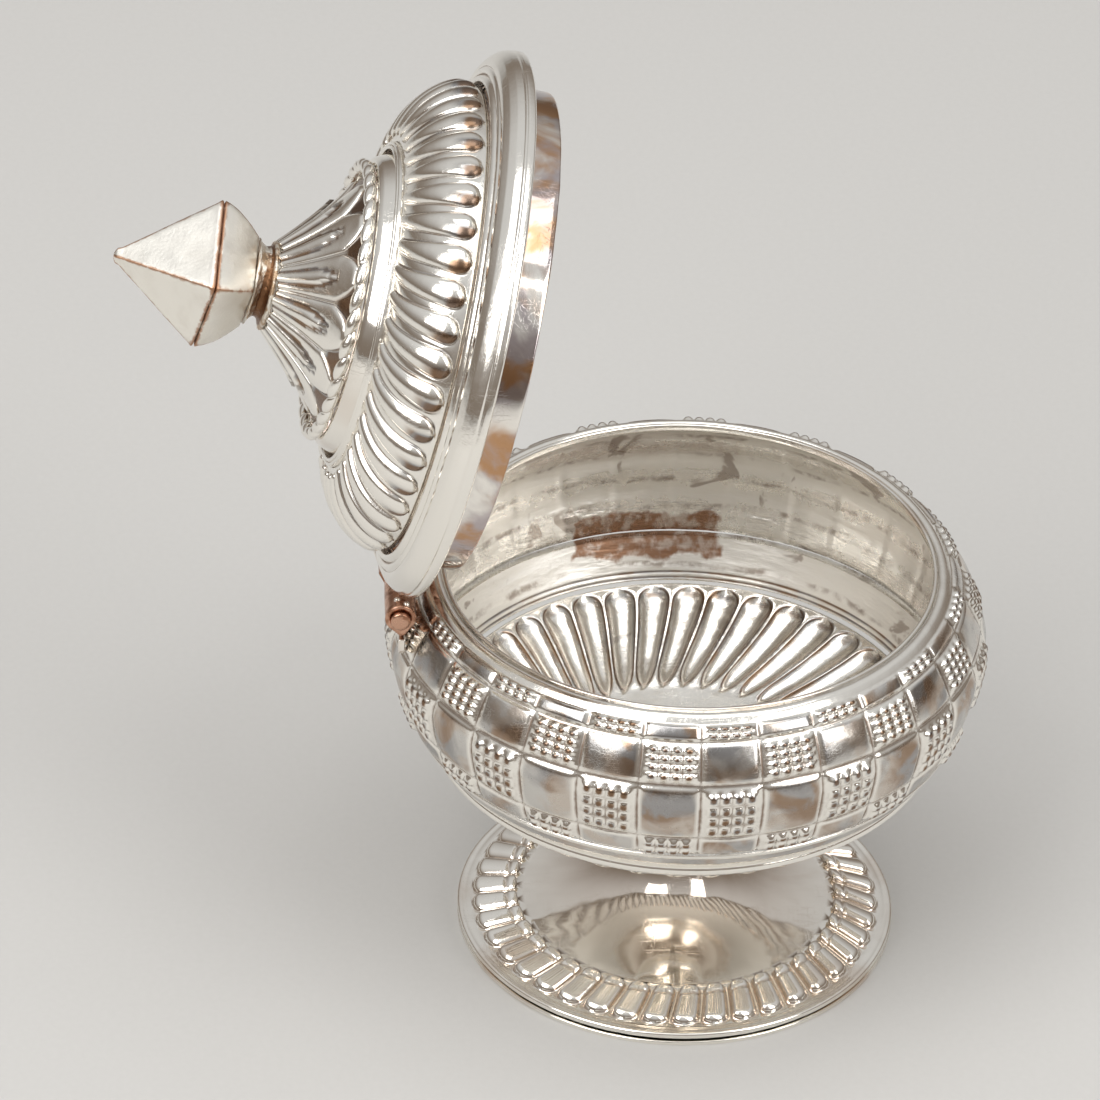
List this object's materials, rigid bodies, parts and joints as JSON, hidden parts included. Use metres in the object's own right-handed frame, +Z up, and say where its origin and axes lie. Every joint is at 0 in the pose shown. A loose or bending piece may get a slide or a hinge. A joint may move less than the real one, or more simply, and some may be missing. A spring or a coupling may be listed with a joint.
{
  "type": "sindoor box",
  "caption": "Silver sindoor box: round chequered bowl on a gadrooned foot, with a hinged ribbed dome lid, lotus cone and pyramid finial.",
  "frame": {"origin": "on the table under the middle of the box as it stands open", "axes": "+Z up; +X along the hinge pin; +Y from the bowl towards the hinge and the open lid"},
  "size_m": [0.0542, 0.0792, 0.0901],
  "materials": {
    "silver": "chased silver, bright with darker hollows",
    "polished_silver": "polished silver with fine scratches",
    "matt_silver": "matt silver, rubbed bright on its edges",
    "hinge_metal": "dull warm metal, rubbed"
  },
  "bodies": {
    "box": {"foot_rim_wire": "silver", "foot_dish": "polished_silver", "stem_collar": "silver", "bowl_underside": "silver", "bowl_seam_ring": "polished_silver", "bowl_wall": "silver", "bowl_rim_wire": "silver", "bowl_hinge_leaf": "silver", "bowl_knuckle_left": "hinge_metal", "bowl_knuckle_right": "hinge_metal", "hinge_pin": "hinge_metal"},
    "lid": {"lid_flange": "polished_silver", "lid_seat_ring": "silver", "lid_rim_band": "silver", "lid_dome": "silver", "lid_step_ring": "silver", "lid_plain_band": "polished_silver", "lid_rope_wire": "silver", "lid_petal_cone": "silver", "finial_neck": "matt_silver", "finial_lower_half": "matt_silver", "finial_upper_half": "matt_silver", "lid_knuckle": "hinge_metal", "lid_hinge_leaf": "silver"}
  },
  "joints": [
    {"name": "lid_hinge", "type": "hinge", "parent": "box", "child": "lid", "pos_m": [0, 0.0138, 0.0399], "axis": [1, 0, 0], "range_deg": [0, 77]}
  ]
}
